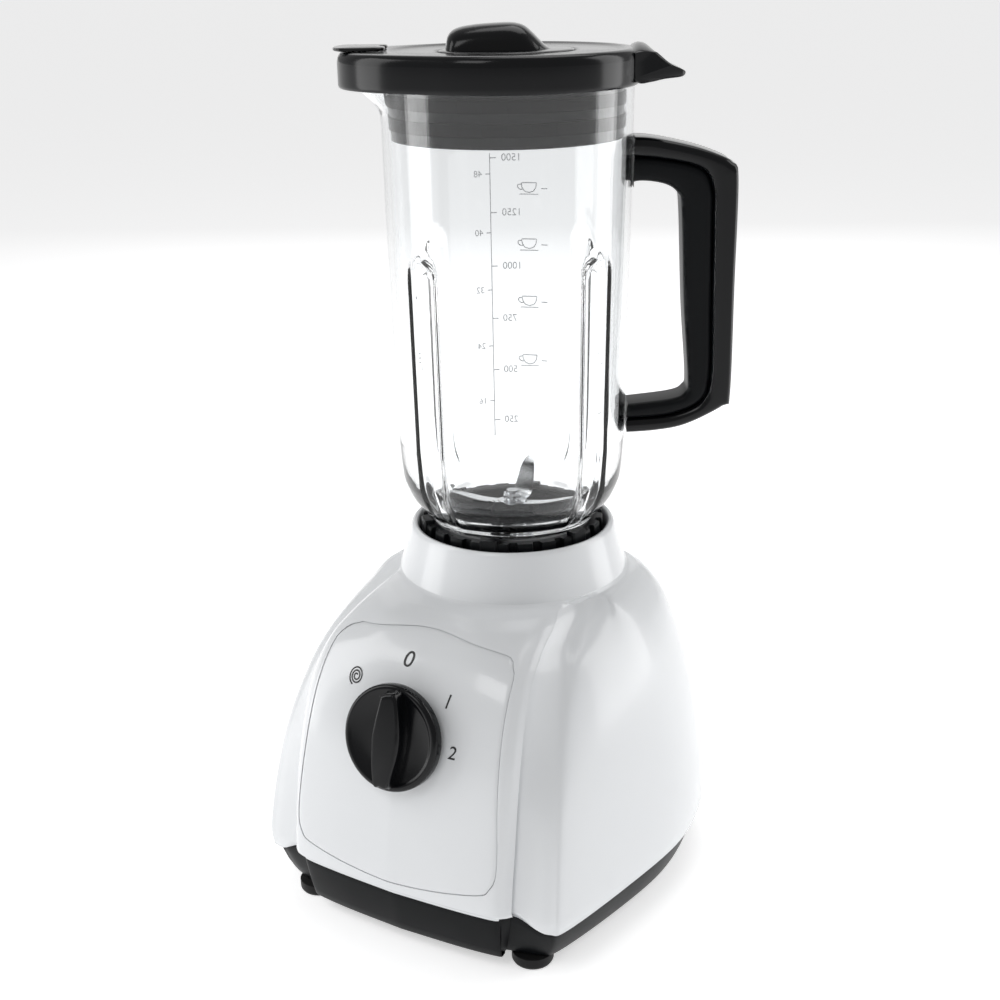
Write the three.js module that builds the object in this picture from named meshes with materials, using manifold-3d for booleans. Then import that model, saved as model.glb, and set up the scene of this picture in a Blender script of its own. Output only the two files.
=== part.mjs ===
// Countertop blender: a white motor base with a rotary switch, a clear jug with
// a blade unit, and a black lid with a filler cap. Millimetres, +Z up, origin on
// the floor under the jug's axis, the control panel facing -Y.
import * as THREE from 'three';
import { mergeVertices } from 'three/addons/utils/BufferGeometryUtils.js';
import Module from 'manifold-3d';

const wasm = await Module();
wasm.setup();

// ---------------------------------------------------------------- dimensions
const GAP = 0.3;            // clearance between touching pieces
const FINE = 0.5;           // share of the full facet count kept on turned pieces
const WALL = 3.2;           // motor housing wall
const FOOT_H = 6;           // foot height, also the underside of the base tray
const FOOT_R = 10;
const COLLAR_TOP = 181;     // rim of the collar that the jug sits in
const COLLAR_R = 46.9;      // bore of the collar
const WELL_FLOOR = 148.5;   // floor of the collar's well
const WELL_T = 2.5;         // thickness of that floor
const SHAFT_HOLE = 17;      // hole in the well floor round the coupling
const PANEL_T = 1.8;        // control panel thickness
const KNOB_R = 25;
const KNOB_H = 13;
const KNOB_TILT = 14.5;     // lean of the panel at the knob, degrees
const KNOB_AT = [0, -110.6, 110];
const SHAFT_R = 4;          // motor shaft
const BLADE_SHAFT_R = 3;
const STACK = [78, 112];    // lamination stack, bottom and top
const NECK_R = 40.4;        // jug neck, outside
const JUG_TOP = 401;        // jug rim
const DRAWN_TOP = 401;      // rim height that the jug, handle and lid outlines are drawn for
const BOWL_TOP = 208;       // the jug stretches above this height, its bowl stays
const JUG_TURN = 29.5;      // handle direction, degrees from +X
const SPOUT = 13.5;         // how far the spout stands out
const HANDLE_W = 23;        // handle thickness
const LID_BOTTOM = 392;
const LID_TOP = 408;
const LID_R = 60.5;
const LID_NOSE = 16.5;      // how far the lid reaches over the spout
const PLUG_R = 53.8;        // lid plug
const PLUG_BOTTOM = 369;
const CAP_R = 26;           // filler hole

// The housing's level sections: z, front, crease x and y, corner x and y,
// half width, back.
const SECTIONS = [
  [27, -122, 61, -113, 82, -107, 99, 78],
  [34, -124, 61, -114, 82.5, -107.5, 99.5, 79],
  [46, -124.5, 61, -113, 82, -106, 99, 78.5],
  [66, -121.5, 61, -110, 80.5, -102, 96.5, 76.5],
  [88, -117, 60.5, -106, 78, -96, 92.5, 73.5],
  [108, -111.5, 59.5, -100.5, 74.5, -87, 87.5, 69.5],
  [125, -104.5, 58, -93, 70.5, -76, 82, 65.5],
  [138, -96, 55.8, -82, 65.5, -62, 76.5, 61.5],
  [146, -87.5, 52.8, -67, 60, -46, 71.5, 57.5],
  [151.5, -78.5, 50, -50, 57.6, -32, 66.5, 53.5],
  [155, -67, 47, -40, 54.3, -25, 61.5, 50],
];

// ----------------------------------------------------------------- materials
const looks = {
  white_plastic: [0xe9ecee, 0.22, 0], panel_plastic: [0xe2e5e7, 0.2, 0],
  black_plastic: [0x0b0c0e, 0.3, 0], gloss_black: [0x08090a, 0.15, 0],
  clear_plastic: [0xf2f6f8, 0.04, 0], rubber_black: [0x141414, 0.8, 0],
  seal_grey: [0x9a9d9f, 0.6, 0], steel: [0xb8bcc0, 0.3, 1],
  blade_steel: [0xcdd1d4, 0.2, 1], iron: [0x6d6f72, 0.5, 1],
  copper: [0xb8733a, 0.35, 1], brass: [0xc9a650, 0.3, 1],
  carbon: [0x232426, 0.7, 0], nylon: [0xdad7cc, 0.5, 0],
};
const materials = {};
for (const [name, [color, roughness, metalness]] of Object.entries(looks)) {
  materials[name] = new THREE.MeshStandardMaterial({ color, roughness, metalness });
}
materials.clear_plastic.transparent = true;
materials.clear_plastic.opacity = 0.3;

// ------------------------------------------------------------------- helpers
const rad = THREE.MathUtils.degToRad;
const smooth = (a, b, v) => {
  const t = THREE.MathUtils.clamp((v - a) / (b - a), 0, 1);
  return t * t * (3 - 2 * t);
};

function solid(geometry) {
  const g = geometry.clone();
  g.deleteAttribute('normal');
  g.deleteAttribute('uv');
  const m = mergeVertices(g, 1e-4);
  return new wasm.Manifold(new wasm.Mesh({
    numProp: 3,
    vertProperties: new Float32Array(m.attributes.position.array),
    triVerts: new Uint32Array(m.index.array),
  }));
}

function geometryOf(shape) {
  if (shape.isBufferGeometry) return shape;
  const m = shape.getMesh();
  const g = new THREE.BufferGeometry();
  g.setAttribute('position', new THREE.BufferAttribute(new Float32Array(m.vertProperties), 3));
  g.setIndex(new THREE.BufferAttribute(new Uint32Array(m.triVerts), 1));
  g.computeVertexNormals();
  return g;
}

const blender = new THREE.Group();
const jug = new THREE.Group();
jug.rotation.z = rad(JUG_TURN);
blender.add(jug);
const knobSeat = new THREE.Group();
knobSeat.position.set(...KNOB_AT);
knobSeat.rotation.x = rad(90 - KNOB_TILT);
blender.add(knobSeat);

function piece(name, look, shape, parent = blender) {
  const mesh = new THREE.Mesh(geometryOf(shape), materials[look]);
  mesh.name = name;
  parent.add(mesh);
  return mesh;
}

// A closed solid through level rings of points, capped at both ends.
function loft(rings) {
  const n = rings[0].length;
  const pos = [];
  const index = [];
  for (const ring of rings) for (const p of ring) pos.push(...p);
  for (let k = 0; k < rings.length - 1; k++) {
    for (let i = 0; i < n; i++) {
      const a = k * n + i, b = k * n + (i + 1) % n;
      index.push(a, b, b + n, a, b + n, a + n);
    }
  }
  for (const [k, flip] of [[0, true], [rings.length - 1, false]]) {
    const c = pos.length / 3;
    const mid = [0, 1, 2].map((j) => rings[k].reduce((s, p) => s + p[j], 0) / n);
    pos.push(...mid);
    for (let i = 0; i < n; i++) {
      const a = k * n + i, b = k * n + (i + 1) % n;
      index.push(...(flip ? [c, b, a] : [c, a, b]));
    }
  }
  const g = new THREE.BufferGeometry();
  g.setAttribute('position', new THREE.BufferAttribute(new Float32Array(pos), 3));
  g.setIndex(index);
  return g;
}

// A turned solid about +Z; the profile of [radius, z] points runs upward outside.
function turned(profile, segments = 32) {
  const first = profile[0], last = profile[profile.length - 1];
  const pts = profile.map(([r, z]) => new THREE.Vector2(r, z));
  if (first[0] > 0 || last[0] > 0) pts.push(new THREE.Vector2(first[0], first[1]));
  const g = new THREE.LatheGeometry(pts, Math.max(10, Math.round(segments * FINE)));
  g.rotateX(Math.PI / 2);
  return g;
}

const ring = (r0, r1, z0, z1, n = 32) => turned([[r0, z0], [r1, z0], [r1, z1], [r0, z1]], n);
const disc = (r, z0, z1, n = 32) => turned([[0, z0], [r, z0], [r, z1], [0, z1]], n);

function block(sx, sy, sz, x, y, z) {
  return new THREE.BoxGeometry(sx, sy, sz).translate(x, y, z);
}

function outline(points) {
  return new THREE.Shape(points.map(([x, y]) => new THREE.Vector2(x, y)));
}

// An outline in X and Z, thick along Y and centred on it.
function slab(points, width) {
  const g = new THREE.ExtrudeGeometry(outline(points), {
    depth: width - 1.6, bevelEnabled: true, bevelThickness: 0.8, bevelSize: 0.6,
    bevelOffset: -0.6, bevelSegments: 1, curveSegments: 1,
  });
  g.translate(0, 0, -(width - 1.6) / 2);
  g.rotateX(Math.PI / 2);
  return g;
}

function curve(points, n) {
  const c = new THREE.CatmullRomCurve3(points.map(([x, y]) => new THREE.Vector3(x, y, 0)));
  return c.getPoints(n).map((p) => [p.x, p.y]);
}

// -------------------------------------------------------------- housing form
// Half of a section: the front with its rounded edge, the crease, and the side
// panel behind it, which sits slightly in from the crease.
function halfSection([, yf, cx, cy, tx, ty, sx, yb], d) {
  const step = d > 0 ? 0.4 : 1.6;
  const midX = tx + 1.5 + (sx - tx - 1.5) * 0.62;
  const midY = Math.max(-55, ty + 6 - (ty + 18) * 0.45);
  const front = curve([
    [0, yf + d], [cx * 0.5, yf + 1.4 + d], [cx - 9, yf + (cy - yf) * 0.36 + d],
    [cx - 3 - d * 0.8, yf + (cy - yf) * 0.64 + d], [cx - d, cy + d],
  ], 7);
  const side = curve([
    [cx - step * 0.75 - d, cy + step + d], [tx - 5 - d, ty - 1.5 + d], [tx + 1.5 - d, ty + 6 + d],
    [midX - d, midY + d * 0.3], [sx - d, Math.max(-12, ty + 16)], [sx - 3 - d, 22],
    [sx * 0.86 - d, yb * 0.68 - d * 0.4], [sx * 0.66 - d * 0.5, yb - 6 - d], [sx * 0.33, yb - d],
    [0, yb - d],
  ], 14);
  return [...front, ...side];
}

function section(row, d, z = () => row[0]) {
  const half = halfSection(row, d);
  const left = half.slice(1, -1).reverse().map(([x, y]) => [-x, y]);
  return [...half, ...left].map(([x, y]) => [x, y, z(x, y)]);
}

// The housing's lower edge is higher across the front than at the corners.
const EDGE = (x, y) => SECTIONS[0][0] - 1 + 7 * smooth(-80, -104, y) * (1 - smooth(60, 77, Math.abs(x)));

function bodyForm(d) {
  const last = SECTIONS.at(-1);
  const rows = SECTIONS.filter((row) => row === last || row[0] < last[0] - d - 1);
  const rings = rows.map((row) => (
    row === last ? section(row, d * 2, () => row[0] - d * 1.2) : section(row, d)));
  if (d > 0) rings.unshift(section(SECTIONS[0], d, () => 15));
  return rings;
}

const outer = bodyForm(0);
outer[0] = section(SECTIONS[0], 0, EDGE);
const outerSolid = solid(loft(outer));
const cavity = solid(loft(bodyForm(WALL)));

// ---------------------------------------------------------------- base tray
// Its rim follows the housing's lower edge.
function trayRing(d, z) {
  return section(SECTIONS[0], d).map(([x, y], i) => [x, y, z ?? outer[0][i][2] - GAP - 0.3]);
}
let tray = solid(loft([
  trayRing(9, FOOT_H), trayRing(6.5, FOOT_H + 1.5), trayRing(3.4, FOOT_H + 10), trayRing(2),
])).subtract(solid(loft([
  trayRing(11.5, FOOT_H + 2.5), trayRing(6.4, FOOT_H + 10), trayRing(4.6, 40),
])));
const screwSpots = [[-56, -78], [56, -78], [-62, 36], [62, 36]];
const mountSpots = [[-32, -32], [32, -32], [-32, 32], [32, 32]];
for (const [x, y] of screwSpots) {
  tray = tray.add(solid(disc(7, FOOT_H + 1, 24, 20).translate(x, y, 0)));
  tray = tray.subtract(solid(disc(4.6, FOOT_H - 1, 19, 20).translate(x, y, 0)));
  tray = tray.subtract(solid(disc(2.3, 18, 25, 16).translate(x, y, 0)));
}
for (const [x, y] of mountSpots) {
  tray = tray.add(solid(disc(6, FOOT_H + 1, 36, 20).translate(x, y, 0)));
}
for (let i = 0; i < 9; i++) {
  tray = tray.subtract(solid(block(44 - Math.abs(i - 4) * 5, 3, 6, 0, -20 + i * 6.5, FOOT_H + 1)));
}
const footSpots = [[-62, -96], [62, -96], [-64, 50], [64, 50]];
for (const [x, y] of footSpots) {
  tray = tray.subtract(solid(disc(4, FOOT_H - 1, FOOT_H + 4, 16).translate(x, y, 0)));
}
piece('base_tray', 'black_plastic', tray);
footSpots.forEach(([x, y], i) => {
  const foot = turned([[0, 0], [FOOT_R - 1.5, 0], [FOOT_R, 1.2], [FOOT_R, FOOT_H - GAP],
    [4 - GAP, FOOT_H - GAP], [4 - GAP, FOOT_H + 3], [0, FOOT_H + 3]], 24);
  piece(`foot_${i + 1}`, 'rubber_black', foot.translate(x, y, 0));
});
screwSpots.forEach(([x, y], i) => {
  const screw = turned([[0, 15.5], [3.6, 15.5], [4, 16.4], [4, 17.7], [1.9, 17.7],
    [1.9, 38], [0, 40]], 16);
  piece(`base_screw_${i + 1}`, 'steel', screw.translate(x, y, 0));
});

// ------------------------------------------------------------ motor housing
let housing = outerSolid.subtract(cavity);
const collar = turned([[0, 146], [COLLAR_R + 2.6, 146], [COLLAR_R + 2.6, 150], [57.4, 153],
  [57.2, 157.5], [55.6, 163], [53.6, 170], [51.8, 176], [50.9, 179], [50.1, 180.5], [49, COLLAR_TOP],
  [0, COLLAR_TOP]], 64);
housing = housing.add(solid(collar));
for (const [x, y] of screwSpots) {
  const post = solid(disc(5.5, 24.4, 154, 16).translate(x, y, 0)).intersect(outerSolid);
  housing = housing.add(post).subtract(solid(disc(2.2, 20, 42, 16).translate(x, y, 0)));
}
housing = housing.subtract(solid(turned([[0, WELL_FLOOR], [COLLAR_R, WELL_FLOOR], [COLLAR_R, 179],
  [COLLAR_R + 0.6, 180.4], [COLLAR_R + 1.2, 183], [0, 183]], 64)));
housing = housing.subtract(solid(disc(SHAFT_HOLE, 140, 150, 40)));

// The control panel lies flush in a pocket of the front.
function panelForm(grow) {
  const g = new THREE.ExtrudeGeometry(outline(curve([
    [-38, 147.5], [0, 151.5], [38, 147.5], [46.5, 143.5], [50, 134], [53.5, 90], [55.5, 60],
    [53, 49], [44, 44], [0, 39], [-44, 44], [-53, 49], [-55.5, 60], [-53.5, 90], [-50, 134],
    [-46.5, 143.5], [-38, 147.5],
  ], 40).slice(0, -1).map(([x, z]) => {
    const k = Math.hypot(x, z - 95);
    return [x * (1 + grow / k), 95 + (z - 95) * (1 + grow / k)];
  })), { depth: 100, bevelEnabled: false, curveSegments: 1 });
  g.rotateX(Math.PI / 2);
  g.translate(0, -50, 0);
  return solid(g);
}
const panelCore = solid(loft(bodyForm(PANEL_T)));
const pocketCore = solid(loft(bodyForm(PANEL_T + GAP)));
housing = housing.subtract(panelForm(0).subtract(pocketCore));
let panel = outerSolid.intersect(panelForm(-GAP)).subtract(panelCore);
const knobTurn = new THREE.Matrix4().makeRotationX(rad(90 - KNOB_TILT)).setPosition(...KNOB_AT);
const atKnob = (g) => g.applyMatrix4(knobTurn);
const knobHole = solid(atKnob(disc(5.2, -14, 8, 24)));
housing = housing.subtract(knobHole);
panel = panel.subtract(knobHole);
const glandHole = (r) => disc(r, 60, 90, 24).rotateX(-Math.PI / 2).translate(0, 0, 44);
housing = housing.subtract(solid(glandHole(7.3)));
for (const turn of [45, 135, 225, 315]) {
  const post = disc(5, 137.3, 147, 16).translate(29 * Math.cos(rad(turn)), 29 * Math.sin(rad(turn)), 0);
  housing = housing.add(solid(post));
}
const PIN_SPOT = [-38, 0];
housing = housing.subtract(solid(disc(3.3, 140, 150, 20).translate(...PIN_SPOT, 0)));
piece('motor_housing', 'white_plastic', housing);
piece('control_panel', 'panel_plastic', panel);

// A moulded gland where the mains cord enters at the back.
const gland = turned([[3.4, 70], [9.5, 70], [9.5, 72.2], [6.9, 72.2], [6.9, 79.6], [9.2, 79.6],
  [8.6, 83], [6.6, 84], [6.2, 98], [3.4, 98]], 24).rotateX(-Math.PI / 2).translate(0, 0, 44);
piece('cord_gland', 'rubber_black', gland);

// ----------------------------------------------------- switch knob and panel
const knobBase = solid(turned([[0, 1.6], [KNOB_R - 1, 1.6], [KNOB_R, 2.6], [KNOB_R, 6.2],
  [KNOB_R - 1.4, 7.4], [KNOB_R - 3, 6.6], [KNOB_R - 4.2, 4.4], [0, 4.4]], 48));
const grip = new THREE.ExtrudeGeometry(outline(curve([
  [-3.2, 21], [0, 22.2], [4.6, 20.6], [8.4, 0], [4.6, -20.6], [0, -22.2], [-3.2, -21],
  [-6.6, 0], [-3.2, 21],
], 32).slice(0, -1)), {
  depth: KNOB_H - 6, bevelEnabled: true, bevelThickness: 1.4, bevelSize: 1.4, bevelOffset: -1.4,
  bevelSegments: 2, curveSegments: 1,
}).translate(0, 0, 4.6);
const knob = knobBase.add(solid(grip)).subtract(solid(disc(3.3, 0, 8, 20)));
piece('knob', 'gloss_black', knob, knobSeat);
piece('knob_shaft', 'steel', disc(3, -14, 7.6, 20), knobSeat);
const switchBox = solid(block(34, 30, 14, 0, -3, -18)).subtract(solid(disc(3.4, -16, -9, 20)));
piece('rotary_switch', 'nylon', switchBox, knobSeat);

// --------------------------------------------------------------------- motor
const frame = new THREE.Shape();
frame.moveTo(-36, -30).lineTo(-30, -36).lineTo(30, -36).lineTo(36, -30);
frame.lineTo(36, 30).lineTo(30, 36).lineTo(-30, 36).lineTo(-36, 30).closePath();
const bore = new THREE.Path();
bore.absarc(0, 0, 30.2, 0, Math.PI * 2, true);
frame.holes.push(bore);
piece('stator_core', 'iron', new THREE.ExtrudeGeometry(frame,
  { depth: STACK[1] - STACK[0], bevelEnabled: false, curveSegments: 24 }).translate(0, 0, STACK[0]));
for (const [name, turn] of [['field_coil_front', -90], ['field_coil_back', 90]]) {
  const arc = new THREE.Shape();
  arc.absarc(0, 0, 29.8, rad(turn - 68), rad(turn + 68), false);
  arc.absarc(0, 0, 23.6, rad(turn + 68), rad(turn - 68), true);
  piece(name, 'copper', new THREE.ExtrudeGeometry(arc,
    { depth: 50, bevelEnabled: false, curveSegments: 14 }).translate(0, 0, 70));
}
const SLOTS = 12;
const teeth = [];
for (let i = 0; i < SLOTS; i++) {
  for (const [da, r] of [[-0.42, 22.4], [0, 22.4], [0.42, 22.4], [0.46, 14], [0.54, 14]]) {
    const a = (i + da) * 2 * Math.PI / SLOTS;
    teeth.push([r * Math.cos(a), r * Math.sin(a)]);
  }
}
const core = new THREE.ExtrudeGeometry(outline(teeth),
  { depth: STACK[1] - STACK[0], bevelEnabled: false }).translate(0, 0, STACK[0]);
piece('armature_core', 'iron', solid(core).subtract(solid(disc(SHAFT_R + GAP, 70, 120, 24))));
piece('armature_winding_top', 'copper', turned([[5, 112.4], [20, 112.4], [21, 115], [18, 119.5],
  [8, 120.5], [5, 119]], 28));
piece('armature_winding_bottom', 'copper', turned([[5, 71], [8, 69.6], [18, 70.4], [21, 75],
  [20, 77.6], [5, 77.6]], 28));
piece('commutator', 'copper', ring(SHAFT_R + GAP, 11, 55, 68.6, 24));
piece('motor_shaft', 'steel', turned([[0, 38], [SHAFT_R - 0.6, 38], [SHAFT_R, 39], [SHAFT_R, 147],
  [0, 147]], 24));
let fan = solid(ring(SHAFT_R + GAP, 9, 122.4, 130.5, 24))
  .add(solid(ring(SHAFT_R + GAP, 30, 122.4, 124, 36)));
for (let i = 0; i < 9; i++) {
  const vane = block(21, 1.4, 7, 18.5, 0, 127).rotateZ(i * 2 * Math.PI / 9);
  fan = fan.add(solid(vane));
}
piece('motor_fan', 'nylon', fan);
for (const [name, z] of [['bearing_bottom', 42], ['bearing_top', 132.6]]) {
  piece(name, 'steel', ring(SHAFT_R + GAP, 9.5, z, z + 6, 28));
}
piece('motor_bracket_top', 'steel', turned([[9.8, 131.8], [13, 131.8], [13, 134.4], [33.5, 134.4],
  [33.5, 137], [9.8, 137]], 40));
let lower = solid(turned([[9.8, 42], [13, 42], [13, 45.4], [24, 45.4], [24, 48], [9.8, 48]], 32));
for (const turn of [45, 135, 225, 315]) {
  lower = lower.add(solid(block(34, 13, 2.6, 35, 0, 46.7).rotateZ(rad(turn))));
}
piece('motor_bracket_bottom', 'steel', lower);
mountSpots.forEach(([x, y], i) => {
  piece(`motor_mount_${i + 1}`, 'rubber_black', disc(5.5, 36.3, 45.1, 20).translate(x, y, 0));
});
for (const [name, s] of [['left', -1], ['right', 1]]) {
  piece(`brush_${name}`, 'carbon', block(13, 5, 7, s * 17.9, 0, 61.5));
  piece(`brush_holder_${name}`, 'brass', solid(block(14, 8.4, 10.4, s * 25, 0, 61.5))
    .subtract(solid(block(16, 5.6, 7.6, s * 23, 0, 61.5))));
}

// The drive coupling stands in the well and its lugs turn the blade coupling.
const lugs = (r0, r1, w, z0, z1, n, off = 0) => Array.from({ length: n }, (_, i) =>
  solid(block(r1 - r0, w, z1 - z0, (r0 + r1) / 2, 0, (z0 + z1) / 2).rotateZ(off + i * 2 * Math.PI / n)));
let drive = solid(turned([[0, 139.2], [9, 139.2], [9, 143], [14.5, 145], [14.5, 150.5], [0, 150.5]], 36));
for (const l of lugs(9, 14, 4, 150, 155, 6)) drive = drive.add(l);
piece('drive_coupling', 'black_plastic', drive.subtract(solid(disc(SHAFT_R + GAP, 130, 147.3, 24))));

// The pin that lets the motor run only with the jug in place, and its switch.
piece('interlock_pin', 'nylon', turned([[0, 131], [2.4, 131], [2.4, 138.6], [4.6, 138.6], [4.6, 140.4],
  [2.9, 140.4], [2.9, 148], [2.2, 148.7], [0, 148.7]], 20).translate(...PIN_SPOT, 0));
piece('interlock_switch', 'black_plastic', block(10, 18, 8, PIN_SPOT[0] - 3, 0, 126.4));

// ----------------------------------------------------------------------- jug
const rise = (z) => (z <= BOWL_TOP ? z
  : BOWL_TOP + (z - BOWL_TOP) * (JUG_TOP - BOWL_TOP) / (DRAWN_TOP - BOWL_TOP));
const risen = (points) => points.map(([x, z]) => [x, rise(z)]);
const OUTSIDE = risen([[NECK_R, 172.7], [NECK_R, 184], [42, 187], [46, 190.8], [49.8, 195.6], [52.6, 201.6],
  [54.2, 208], [55.6, 226], [57, 300], [57.3, 314], [57.4, 321], [58.2, 380], [58.3, 388.5],
  [58.4, 396], [58.4, DRAWN_TOP]]);
const INSIDE = risen([[55.4, DRAWN_TOP], [55.4, 396], [55.3, 388.5], [55.2, 380], [54.5, 321], [54.4, 314],
  [54.1, 300], [52.6, 226], [50.9, 209.6], [48.6, 203], [45.2, 197.6], [40.8, 193], [37.4, 189.6],
  [36.8, 186], [36.8, 172.7]]);
const ribAngles = [45, 135, 225, 315];
const apart = (a, b) => Math.abs(((a - b + 540) % 360) - 180);

// The spout pushes both faces out; each rib pushes them in.
function jugRadius(r, z, deg, inner) {
  const spout = SPOUT * smooth(rise(380), rise(397), z)
    * Math.cos(Math.min(apart(deg, 180) / 30, 1) * Math.PI / 2) ** 2;
  const rib = ribAngles.reduce((s, a) => s + Math.max(0, 1 - (apart(deg, a) / 8) ** 4), 0);
  const depth = (inner ? 4.2 : 1.5) * smooth(rise(322), rise(312), z) * smooth(186, 200, z);
  return r + spout - Math.min(rib, 1) * depth;
}
function jugForm(profile, inside, columns = 56) {
  const pos = [];
  const index = [];
  const n = profile.length;
  for (let c = 0; c < columns; c++) {
    const deg = c * 360 / columns;
    profile.forEach(([r, z], k) => {
      const rr = jugRadius(r, z, deg, k >= n - inside);
      pos.push(rr * Math.cos(rad(deg)), rr * Math.sin(rad(deg)), z);
    });
  }
  for (let c = 0; c < columns; c++) {
    for (let k = 0; k < n; k++) {
      const a = c * n + k, b = c * n + (k + 1) % n;
      const d = ((c + 1) % columns) * n + k, e = ((c + 1) % columns) * n + (k + 1) % n;
      index.push(a, d, e, a, e, b);
    }
  }
  const g = new THREE.BufferGeometry();
  g.setAttribute('position', new THREE.BufferAttribute(new Float32Array(pos), 3));
  g.setIndex(index);
  return g;
}
piece('jug_body', 'clear_plastic', jugForm([...OUTSIDE, ...INSIDE], INSIDE.length), jug);

// The handle: a core against the jug and a cover round its outside.
const innerEdge = curve(risen([[52, 345.5], [60, 348.6], [72, 347.2], [78.4, 343], [80.4, 335],
  [82.6, 290], [85.4, 254], [84.2, 247.2], [78, 244.2], [60, 242], [52, 241.4]]), 22);
const midEdge = (s) => curve(risen([[52, 360 + s], [70, 358.6 + s], [88, 354.4 + s], [94 + s, 346],
  [95 + s, 330],
  [95.6 + s, 290], [96 + s, 256], [92 + s, 243 - s], [78, 236.4 - s], [60, 234.6 - s],
  [52, 234.4 - s]]), 22);
const outerEdge = curve(risen([[52, 368.8], [66, 368.2], [84.4, 364.4], [97, 360.2], [103.6, 356.4],
  [106.4, 349], [106.4, 300], [106.2, 246], [103, 240.4], [85.2, 231.4], [70, 228.4],
  [52, 227.4]]), 24);
const clearOfJug = solid(turned([[0, 190], ...OUTSIDE.slice(4).map(([r, z]) => [r + 0.35, z]),
  [0, JUG_TOP]], 80));
piece('handle_core', 'gloss_black',
  solid(slab([...innerEdge, ...midEdge(-0.15).reverse()], HANDLE_W - 2)).subtract(clearOfJug), jug);
piece('handle_cover', 'gloss_black',
  solid(slab([...midEdge(0.15), ...[...outerEdge].reverse()], HANDLE_W)).subtract(clearOfJug), jug);

// Base ring, blade carrier and seal close the jug's neck.
let baseRing = solid(turned([[33, 149], [45, 149], [45.6, 149.8], [45.6, 178.5], [44.6, 181], [44, 183.4],
  [NECK_R + 0.6, 183.4], [NECK_R + 0.6, 166.3], [33, 166.3]], 64));
for (const l of lugs(43, 46.4, 6, 172, 177, 6, 0.2)) baseRing = baseRing.add(l);
for (const l of lugs(42, 48, 5, 180, 186, 24)) baseRing = baseRing.subtract(l);
piece('jug_base_ring', 'black_plastic', baseRing, jug);
piece('blade_carrier', 'black_plastic', turned([[5.6, 160], [11, 160], [11, 166.6], [40.6, 166.6],
  [40.6, 169.8], [17, 169.8], [13, 173], [9.8, 184], [5.6, 184]], 40), jug);
piece('jug_seal', 'seal_grey', ring(36.6, 40.6, 170.1, 172.4, 48), jug);
piece('blade_bush', 'brass', ring(BLADE_SHAFT_R + GAP, 5.3, 161, 183.6, 24), jug);
piece('blade_shaft', 'steel', disc(BLADE_SHAFT_R, 157.9, 195, 24), jug);
let driven = solid(turned([[0, 155.4], [15, 155.4], [15, 157.6], [0, 157.6]], 36));
for (const l of lugs(9, 14.6, 3.4, 151, 156, 6)) driven = driven.add(l);
piece('driven_coupling', 'black_plastic', driven, jug);
function blade(z, turn, lift) {
  const arms = solid(disc(7.5, z, z + 1.4, 24));
  let b = arms;
  for (const s of [0, Math.PI]) {
    const arm = outline([[4, -5], [16, -6], [31, -2.2], [34, 2.6], [16, 5.4], [4, 5]]);
    const g = new THREE.ExtrudeGeometry(arm, { depth: 1.4, bevelEnabled: false });
    const p = g.attributes.position;
    for (let i = 0; i < p.count; i++) {
      const x = p.getX(i);
      p.setZ(i, p.getZ(i) + z + lift * Math.max(0, x - 10.5));
    }
    b = b.add(solid(g.rotateZ(s + turn)));
  }
  return b.subtract(solid(disc(BLADE_SHAFT_R + GAP, z - 1, z + 4, 20)));
}
piece('blade_lower', 'blade_steel', blade(185.4, 0.5, -0.12), jug);
piece('blade_upper', 'blade_steel', blade(187.2, 0.5 + Math.PI / 2, 0.5), jug);
piece('blade_nut', 'steel', solid(disc(6, 189.6, 193, 12))
  .subtract(solid(disc(BLADE_SHAFT_R + GAP, 188, 194, 20))), jug);

// ----------------------------------------------------------------------- lid
// Everything from here on sits on the jug's rim and moves with its height.
const onRim = new THREE.Group();
onRim.position.z = JUG_TOP - DRAWN_TOP;
jug.add(onRim);
function lidRing(r, nose, z, n = 48) {
  return Array.from({ length: n }, (_, i) => {
    const deg = i * 360 / n;
    const k = Math.cos(Math.min(apart(deg, 180) / 62, 1) * Math.PI / 2) ** 2;
    const rr = r + nose * k;
    return [rr * Math.cos(rad(deg)), rr * Math.sin(rad(deg)), z];
  });
}
let lid = solid(loft([lidRing(LID_R, LID_NOSE, LID_BOTTOM), lidRing(LID_R, LID_NOSE, 405.6),
  lidRing(LID_R - 0.5, LID_NOSE, 407.2), lidRing(LID_R - 1.8, LID_NOSE, LID_TOP)]));
lid = lid.subtract(solid(loft([lidRing(LID_R - 1.6, LID_NOSE - 1, LID_BOTTOM - 1),
  lidRing(LID_R - 1.6, LID_NOSE - 1, 402.4)])));
const plug = turned([[51, PLUG_BOTTOM], [52.9, PLUG_BOTTOM], [PLUG_R, 370], [PLUG_R, 374], [52.5, 374],
  [52.5, 380], [PLUG_R, 380], [PLUG_R, 384], [52.5, 384], [52.5, 390], [PLUG_R, 390], [PLUG_R, 403],
  [51, 403]], 64);
lid = lid.add(solid(plug));
const tab = slab([[55, 406.5], [57.5, 409], [60.5, 410], [63.5, 409], [68, 405.2], [73.5, 400.8],
  [78.5, 398.6],
  [81, 397], [80.4, 395.6], [78, 394.9], [71, 394.4], [65, 393.4], [59.6, 393], [59.6, 403.6],
  [55, 403.6]], 25);
lid = lid.add(solid(tab));
lid = lid.subtract(solid(disc(CAP_R, 395, 412, 48))).subtract(solid(disc(31.6, 405.2, 412, 48)));
piece('lid_body', 'gloss_black', lid, onRim);
piece('lid_seal_lower', 'rubber_black', ring(52.8, 54.7, 374.3, 379.7, 64), onRim);
piece('lid_seal_upper', 'rubber_black', ring(52.8, 54.7, 384.3, 389.7, 64), onRim);
piece('spout_flap', 'gloss_black', block(20, 26, 1.6, -64.5, 0, LID_TOP + GAP + 0.8), onRim);

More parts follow.
